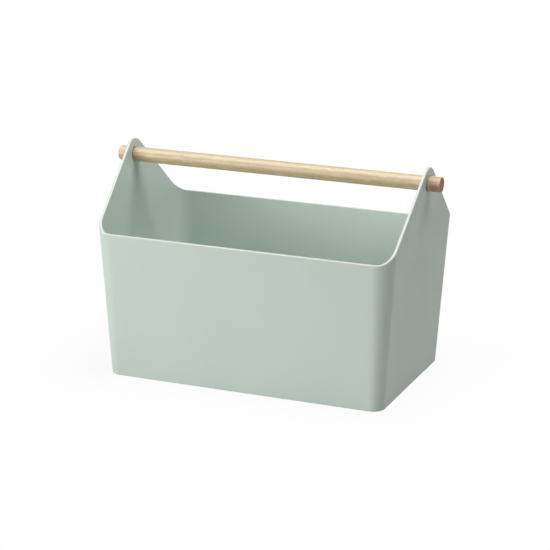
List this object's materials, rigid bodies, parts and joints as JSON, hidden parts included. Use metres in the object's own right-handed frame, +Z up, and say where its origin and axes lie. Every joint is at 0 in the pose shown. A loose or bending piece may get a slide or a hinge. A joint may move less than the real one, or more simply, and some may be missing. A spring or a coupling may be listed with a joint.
{
  "type": "carry caddy",
  "caption": "Open moulded plastic carry caddy with gabled ends and a round wooden carrying bar that turns in its holes.",
  "frame": {"origin": "middle of the underside, on the surface the caddy stands on", "axes": "+X along the bar and the tub's length, +Y across the tub, +Z up"},
  "size_m": [0.3882, 0.2218, 0.2526],
  "materials": {
    "sage_plastic": "matte moulded surface with a very fine even texture",
    "pale_wood": "sanded, lightly oiled, fine straight grain along the bar"
  },
  "bodies": {
    "tub": {"moulded_tub": "sage_plastic"},
    "bar": {"wooden_bar": "pale_wood"}
  },
  "joints": [
    {"name": "bar_turn", "type": "hinge", "parent": "tub", "child": "bar", "pos_m": [0, 0, 0.23445], "axis": [1, 0, 0], "continuous": true}
  ]
}
